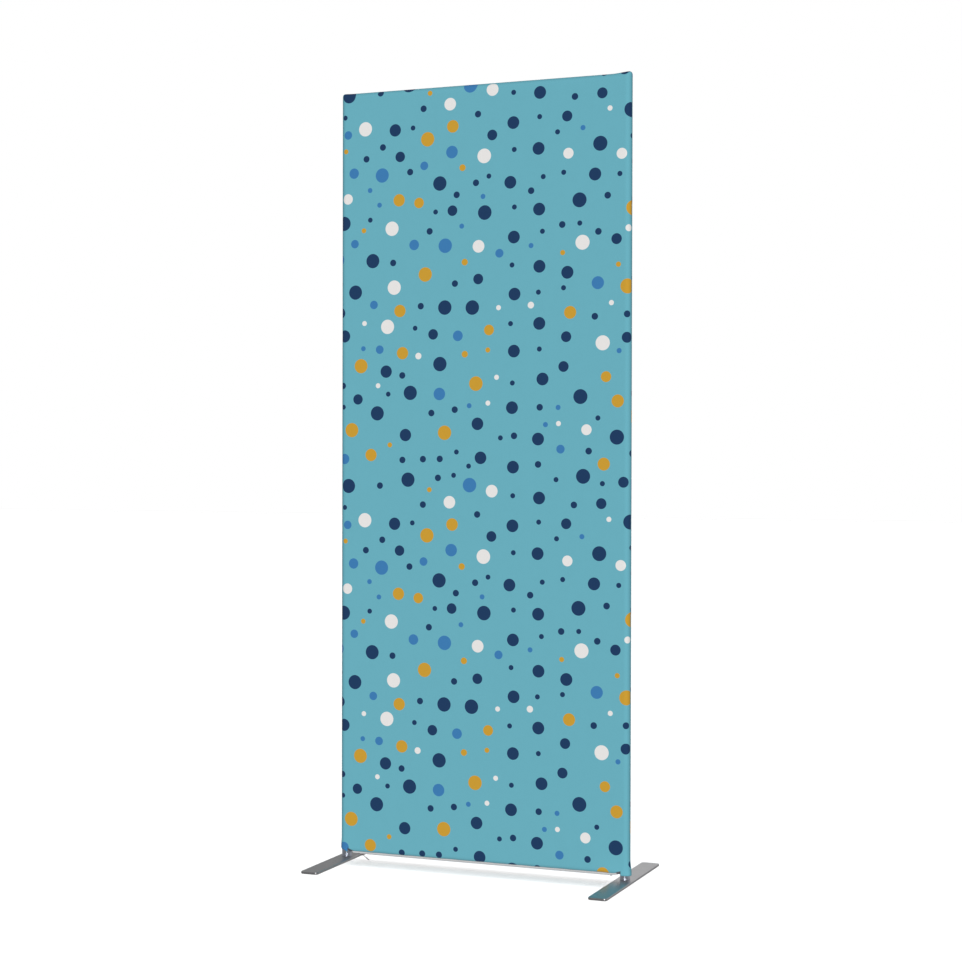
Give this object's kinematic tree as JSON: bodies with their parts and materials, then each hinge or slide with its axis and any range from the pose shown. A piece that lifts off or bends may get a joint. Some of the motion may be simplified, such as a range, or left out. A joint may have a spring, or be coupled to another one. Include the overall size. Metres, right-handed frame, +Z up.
{
  "type": "partition wall",
  "caption": "Free-standing partition wall: a zipped, dot-printed fabric cover stretched over a plug-together tube frame on flat steel feet that swivel.",
  "frame": {"origin": "on the floor under the middle of the wall", "axes": "+X to the right along the wall seen from its front, -Y out of the front face, +Z up"},
  "size_m": [0.8112, 0.44, 2],
  "materials": {
    "foot_steel": "satin, clear coated",
    "pin_steel": "zinc plated",
    "spring_steel": "bright spring strip",
    "tube_aluminium": "drawn, satin",
    "cast_aluminium": "cast, satin",
    "pad_rubber": "matte",
    "printed_fabric": "knitted polyester, teal with navy, white, ochre and blue dots",
    "zip_tape": "woven polyester tape",
    "zip_nylon": "nylon coil",
    "zip_metal": "nickel plated zinc"
  },
  "bodies": {
    "frame_and_cover": {"bottom_rail": "tube_aluminium", "top_rail": "tube_aluminium", "bottom_connector_left": "cast_aluminium", "top_elbow_left": "cast_aluminium", "joint_sleeve_left": "tube_aluminium", "upright_lower_left": "tube_aluminium", "upright_upper_left": "tube_aluminium", "connector_rivet_left": "pin_steel", "sleeve_rivet_left": "pin_steel", "elbow_rivet_left": "pin_steel", "bottom_connector_right": "cast_aluminium", "top_elbow_right": "cast_aluminium", "joint_sleeve_right": "tube_aluminium", "upright_lower_right": "tube_aluminium", "upright_upper_right": "tube_aluminium", "connector_rivet_right": "pin_steel", "sleeve_rivet_right": "pin_steel", "elbow_rivet_right": "pin_steel", "snap_rivet_bottom_left": "pin_steel", "snap_rivet_bottom_right": "pin_steel", "snap_rivet_middle_left": "pin_steel", "snap_rivet_middle_right": "pin_steel", "snap_rivet_top_left": "pin_steel", "snap_rivet_top_right": "pin_steel", "cover_front": "printed_fabric", "cover_back": "printed_fabric", "zip_tape_front": "zip_tape", "zip_tape_back": "zip_tape", "zip_coil_front": "zip_nylon", "zip_coil_back": "zip_nylon", "zip_stop_left": "zip_metal", "zip_stop_right": "zip_metal"},
    "foot_left": {"foot_plate_left": "foot_steel", "foot_spigot_left": "pin_steel", "foot_screw_left": "pin_steel", "foot_pad_front_left": "pad_rubber", "foot_pad_rear_left": "pad_rubber"},
    "foot_right": {"foot_plate_right": "foot_steel", "foot_spigot_right": "pin_steel", "foot_screw_right": "pin_steel", "foot_pad_front_right": "pad_rubber", "foot_pad_rear_right": "pad_rubber"},
    "snap_bottom_left": {"snap_leaf_bottom_left": "spring_steel", "snap_button_bottom_left": "pin_steel"},
    "snap_bottom_right": {"snap_leaf_bottom_right": "spring_steel", "snap_button_bottom_right": "pin_steel"},
    "snap_middle_left": {"snap_leaf_middle_left": "spring_steel", "snap_button_middle_left": "pin_steel"},
    "snap_middle_right": {"snap_leaf_middle_right": "spring_steel", "snap_button_middle_right": "pin_steel"},
    "snap_top_left": {"snap_leaf_top_left": "spring_steel", "snap_button_top_left": "pin_steel"},
    "snap_top_right": {"snap_leaf_top_right": "spring_steel", "snap_button_top_right": "pin_steel"},
    "zip_slider": {"zip_slider": "zip_metal"},
    "zip_pull": {"zip_pull": "zip_metal"}
  },
  "joints": [
    {"name": "foot_swivel_left", "type": "hinge", "parent": "frame_and_cover", "child": "foot_left", "pos_m": [-0.3816, 0, 0], "axis": [0, 0, 1], "range_deg": [-50, 50]},
    {"name": "foot_swivel_right", "type": "hinge", "parent": "frame_and_cover", "child": "foot_right", "pos_m": [0.3816, 0, 0], "axis": [0, 0, 1], "range_deg": [-50, 50]},
    {"name": "snap_press_bottom_left", "type": "hinge", "parent": "frame_and_cover", "child": "snap_bottom_left", "pos_m": [-0.3521, 0, 0.0405], "axis": [0, 1, 0], "range_deg": [0, 5.7], "stiffness_Nm_per_rad": 1.6, "springref_deg": -3.44},
    {"name": "snap_press_bottom_right", "type": "hinge", "parent": "frame_and_cover", "child": "snap_bottom_right", "pos_m": [0.3521, 0, 0.0405], "axis": [0, -1, 0], "range_deg": [0, 5.7], "stiffness_Nm_per_rad": 1.6, "springref_deg": -3.44},
    {"name": "snap_press_middle_left", "type": "hinge", "parent": "frame_and_cover", "child": "snap_middle_left", "pos_m": [-0.3736, 0, 0.994], "axis": [0, -1, 0], "range_deg": [0, 5.7], "stiffness_Nm_per_rad": 1.6, "springref_deg": -3.44},
    {"name": "snap_press_middle_right", "type": "hinge", "parent": "frame_and_cover", "child": "snap_middle_right", "pos_m": [0.3736, 0, 0.994], "axis": [0, 1, 0], "range_deg": [0, 5.7], "stiffness_Nm_per_rad": 1.6, "springref_deg": -3.44},
    {"name": "snap_press_top_left", "type": "hinge", "parent": "frame_and_cover", "child": "snap_top_left", "pos_m": [-0.3736, 0, 1.9601], "axis": [0, 1, 0], "range_deg": [0, 5.7], "stiffness_Nm_per_rad": 1.6, "springref_deg": -3.44},
    {"name": "snap_press_top_right", "type": "hinge", "parent": "frame_and_cover", "child": "snap_top_right", "pos_m": [0.3736, 0, 1.9601], "axis": [0, -1, 0], "range_deg": [0, 5.7], "stiffness_Nm_per_rad": 1.6, "springref_deg": -3.44},
    {"name": "zip_slide", "type": "slide", "parent": "frame_and_cover", "child": "zip_slider", "axis": [1, 0, 0], "range_m": [0, 0.672]},
    {"name": "zip_pull_swing", "type": "hinge", "parent": "zip_slider", "child": "zip_pull", "pos_m": [-0.334, 0, 0.0128], "axis": [0, -1, 0], "range_deg": [-146, 34]}
  ]
}
